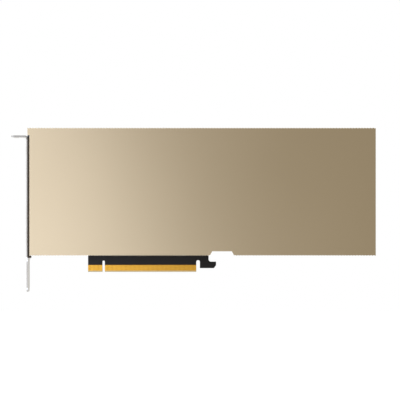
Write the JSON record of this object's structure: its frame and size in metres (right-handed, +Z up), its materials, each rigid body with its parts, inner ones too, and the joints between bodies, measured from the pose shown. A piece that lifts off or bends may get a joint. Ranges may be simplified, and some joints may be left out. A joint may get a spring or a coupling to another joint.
{
  "type": "passive accelerator card",
  "caption": "Passive accelerator card: single-slot, full-height, full-length board under a ribbed champagne-gold cover, with steel bracket and gold edge fingers, cooled by the server's own air",
  "frame": {"origin": "middle of the key notch on the board's mid plane, at the tips of the edge fingers", "axes": "+X along the card away from the bracket, +Z up from the fingers, the gold cover faces -Y"},
  "size_m": [0.2791, 0.0185, 0.1259],
  "materials": {
    "board_black": "matte",
    "contact_gold": "satin",
    "bracket_steel": "satin",
    "cover_gold": "satin",
    "frame_black": "matte",
    "chamber_nickel": "satin",
    "fin_aluminium": "satin",
    "post_brass": "satin",
    "package_green": "matte",
    "stiffener_steel": "satin",
    "die_silicon": "polished",
    "paste_grey": "matte",
    "chip_black": "matte",
    "pad_grey": "matte",
    "inductor_grey": "matte",
    "ceramic_tan": "matte",
    "connector_black": "matte",
    "pin_tin": "satin",
    "backplate_black": "matte",
    "film_black": "matte",
    "spring_steel": "satin",
    "cushion_black": "matte",
    "screw_black": "satin"
  },
  "bodies": {
    "root": {"circuit_board": "board_black", "edge_contacts_front": "contact_gold", "edge_contacts_back": "contact_gold", "bracket": "bracket_steel", "shroud": "cover_gold", "cooler_frame": "frame_black", "vapour_chamber": "chamber_nickel", "heat_sink_posts": "post_brass", "fin_stack": "fin_aluminium", "gpu_substrate": "package_green", "gpu_stiffener": "stiffener_steel", "gpu_die": "die_silicon", "thermal_paste": "paste_grey", "memory_chips": "chip_black", "memory_pads": "pad_grey", "inductors": "inductor_grey", "inductor_pads": "pad_grey", "power_stages": "chip_black", "power_stage_pads": "pad_grey", "input_capacitors": "chip_black", "current_shunts": "chip_black", "controller_chips": "chip_black", "flash_chip": "chip_black", "ceramic_capacitors": "ceramic_tan", "bypass_capacitors": "ceramic_tan", "power_connector": "connector_black", "power_pins": "pin_tin", "backplate": "backplate_black", "backplate_film": "film_black", "gpu_spring_plate": "spring_steel", "spring_cushion": "cushion_black", "backplate_screws": "screw_black", "spring_screws": "screw_black", "shroud_screws": "screw_black", "bracket_screws": "screw_black"}
  },
  "joints": []
}
